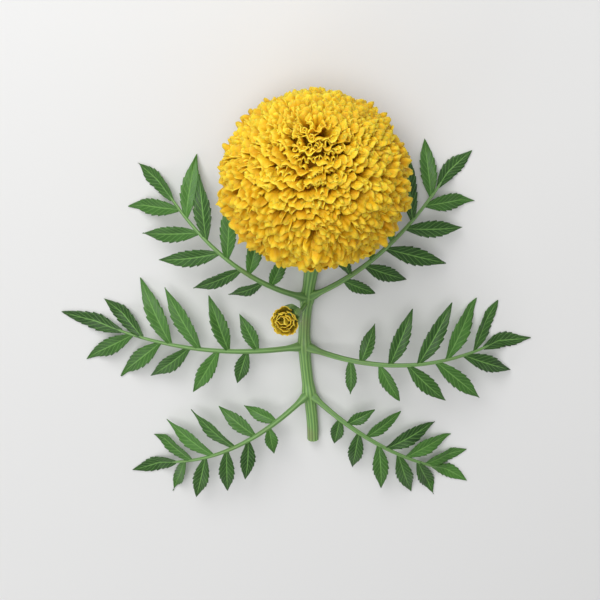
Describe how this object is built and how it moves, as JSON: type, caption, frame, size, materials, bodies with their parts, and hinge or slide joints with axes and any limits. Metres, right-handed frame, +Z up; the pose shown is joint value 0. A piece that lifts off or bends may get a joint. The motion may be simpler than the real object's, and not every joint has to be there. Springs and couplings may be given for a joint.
{
  "type": "marigold flower",
  "caption": "Picked African marigold lying on a surface: double yellow pompon bloom in a ribbed green cup, on a leafy stem with a side bud.",
  "frame": {"origin": "middle of the bottom of the whole flower's box, on the surface it lies on", "axes": "+Z up from the surface it lies on; -Y the way the bloom faces, with the stem running off to +Y; +X along the widest spread of the leaves"},
  "size_m": [0.215, 0.2079, 0.073],
  "materials": {
    "petal": "soft matt golden yellow petal, thin enough to glow where light comes through",
    "cup": "smooth fleshy mid green, slightly glossy on its ribs",
    "stem": "smooth ribbed light green, slightly glossy",
    "leaf": "matt deep green leaf with a paler rib and underside"
  },
  "bodies": {
    "root": {"bloom": "petal", "cup": "cup", "stem": "stem", "leaf_1": "leaf", "leaf_2": "leaf", "leaf_3": "leaf", "leaf_4": "leaf", "leaf_5": "leaf", "leaf_6": "leaf", "bud_cup": "cup", "bud_petals": "petal"}
  },
  "joints": []
}
